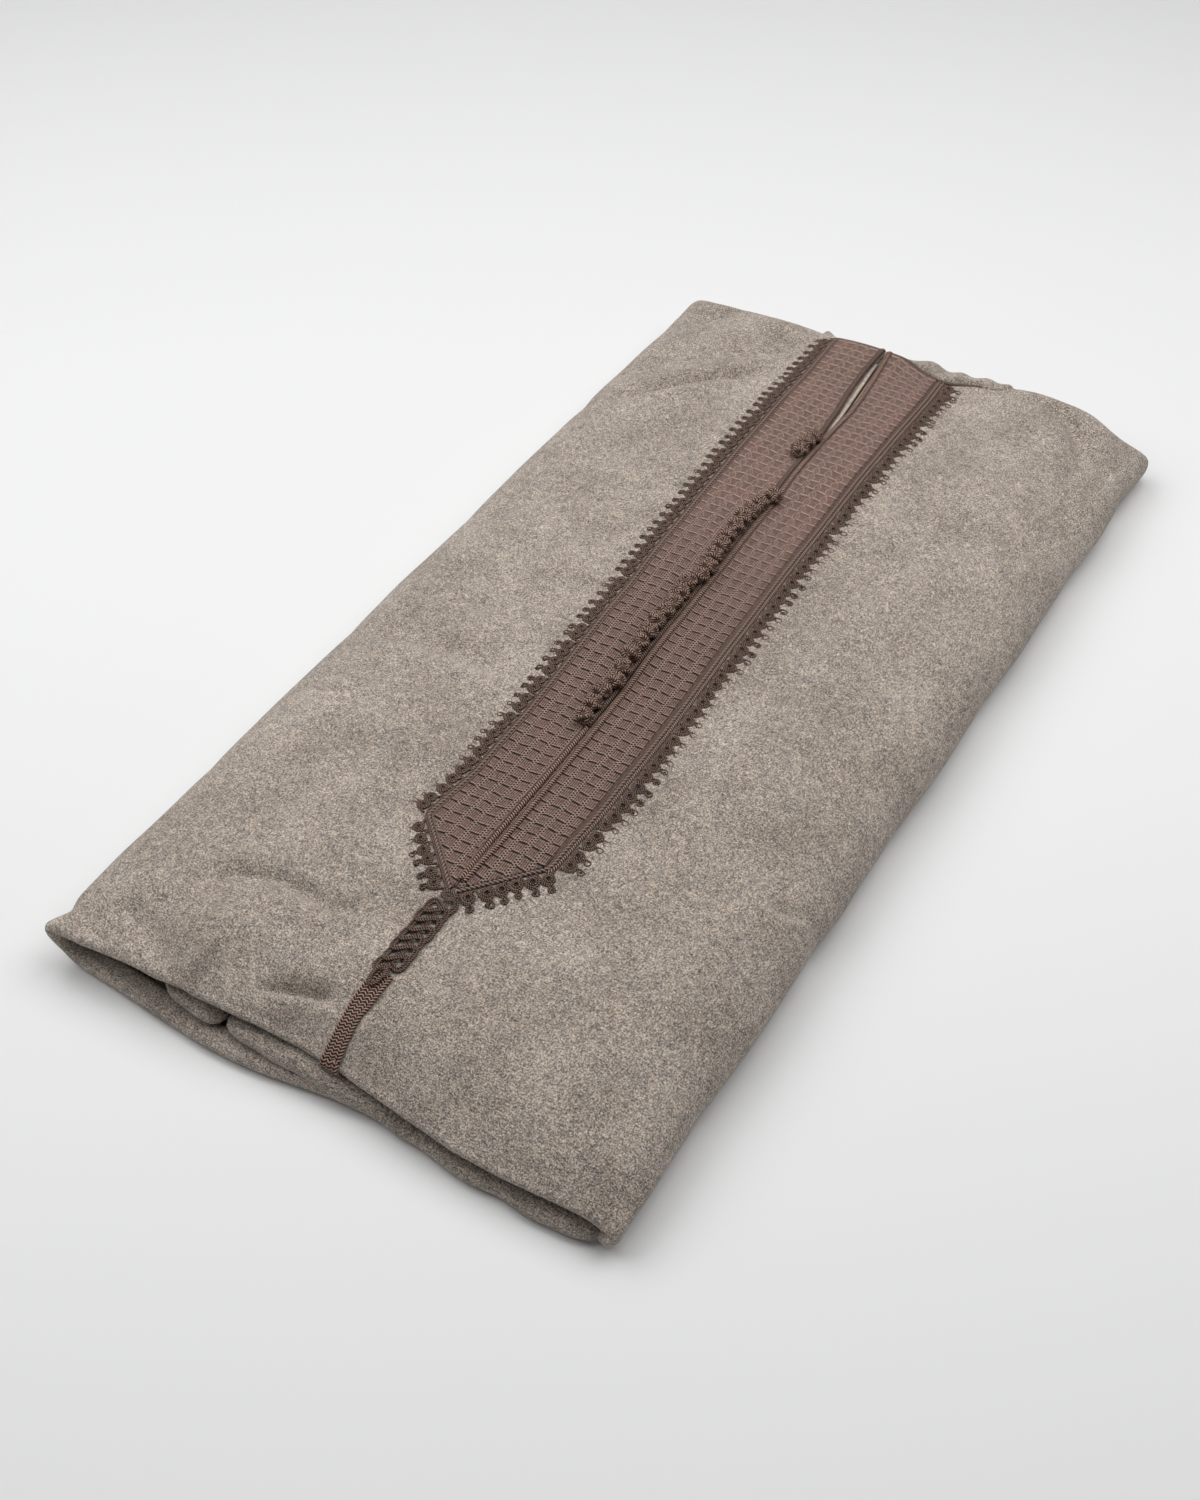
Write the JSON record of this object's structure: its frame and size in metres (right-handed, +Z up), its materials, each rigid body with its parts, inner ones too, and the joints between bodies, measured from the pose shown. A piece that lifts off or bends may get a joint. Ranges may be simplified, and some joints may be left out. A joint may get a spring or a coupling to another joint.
{
  "type": "folded djellaba",
  "caption": "Wool djellaba folded flat, face up, with two woven bands down the chest, a neck slit, knotted cord buttons, looped cord trim and a braided tail.",
  "frame": {"origin": "centre of the bounding box in plan, on the surface the folded garment rests on", "axes": "+X across the chest, towards the wearer's left; +Y from the skirt's fold to the neck; +Z up from the surface, out of the garment's front"},
  "size_m": [0.3438, 0.6939, 0.0605],
  "materials": {
    "wool": "fulled greige wool, heathered with light and dark fibres, matt with a short nap",
    "inner_wool": "the same wool where it is folded away inside",
    "pale_wool": "paler smooth facing inside the neck slit",
    "braid": "brown woven silk-like braid with a soft sheen",
    "cord": "dark brown twisted cord, slightly lustrous"
  },
  "bodies": {
    "root": {"front_left": "wool", "front_right": "wool", "folded_layers": "inner_wool", "hood_base": "wool", "slit_facing": "pale_wool", "band_left": "braid", "band_right": "braid", "loop_trim_left": "cord", "loop_trim_right": "cord", "tail_coil": "cord", "tail_braid": "braid", "neck_cord_left": "cord", "neck_cord_right": "cord", "button_01": "cord", "button_02": "cord", "button_03": "cord", "button_04": "cord", "button_05": "cord", "button_06": "cord", "button_07": "cord", "button_08": "cord", "button_09": "cord", "button_10": "cord", "button_11": "cord", "button_12": "cord", "button_13": "cord", "button_14": "cord", "button_15": "cord", "button_16": "cord", "button_17": "cord", "button_18": "cord", "button_19": "cord", "button_20": "cord", "button_21": "cord", "button_22": "cord", "button_23": "cord", "button_24": "cord", "button_25": "cord", "button_26": "cord"}
  },
  "joints": []
}
